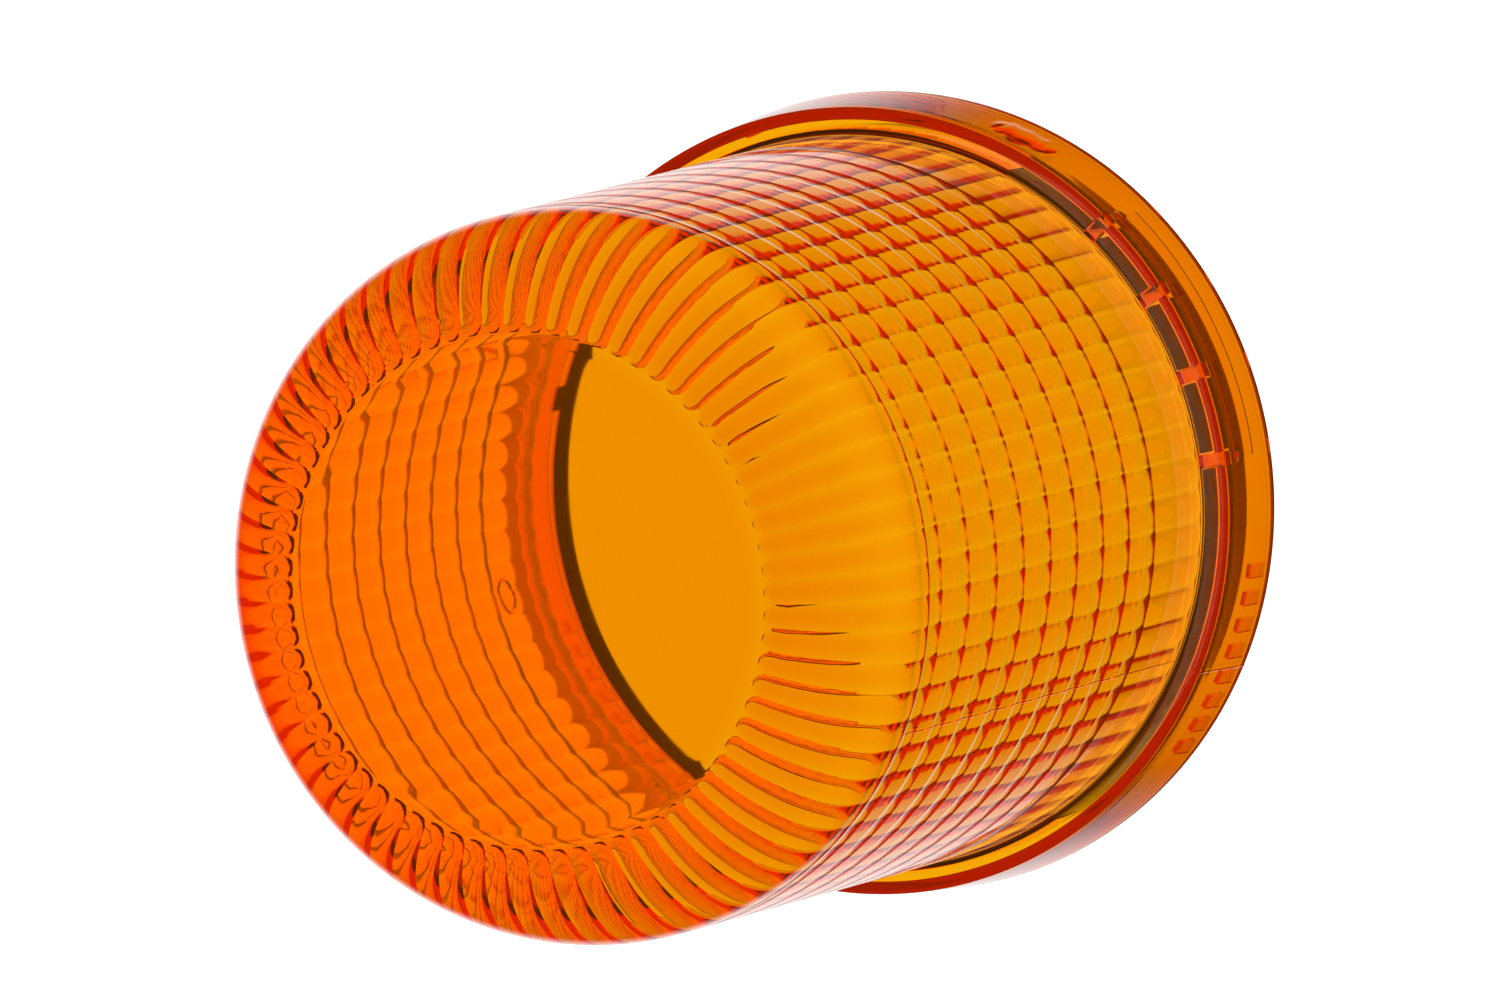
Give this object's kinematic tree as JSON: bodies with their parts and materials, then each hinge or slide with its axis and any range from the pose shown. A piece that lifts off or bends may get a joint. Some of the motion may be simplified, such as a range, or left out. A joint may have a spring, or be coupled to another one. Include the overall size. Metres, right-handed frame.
{
  "type": "beacon lens",
  "caption": "Amber transparent dome lens for a warning beacon, with a flat window, fluted wall with shallow ring grooves, base flange, skirt and open mouth.",
  "frame": {"origin": "middle of the open mouth, on the plane of the skirt's rim", "axes": "+Z along the lens axis from the mouth to the flat window; +X through the side with the four bridging ribs just anticlockwise of it"},
  "size_m": [0.165, 0.165, 0.1796],
  "materials": {
    "amber_lens": "clear gloss amber"
  },
  "bodies": {
    "root": {"top_window": "amber_lens", "shoulder_ring": "amber_lens", "prism_wall": "amber_lens", "base_band": "amber_lens", "flange_ring": "amber_lens", "skirt": "amber_lens", "inner_collar": "amber_lens", "collar_band": "amber_lens", "key_tab": "amber_lens", "locating_pad": "amber_lens", "ratchet_teeth": "amber_lens", "blank_badge": "amber_lens", "blank_roundel": "amber_lens", "bridge_rib_1": "amber_lens", "bridge_rib_2": "amber_lens", "bridge_rib_3": "amber_lens", "bridge_rib_4": "amber_lens"}
  },
  "joints": []
}
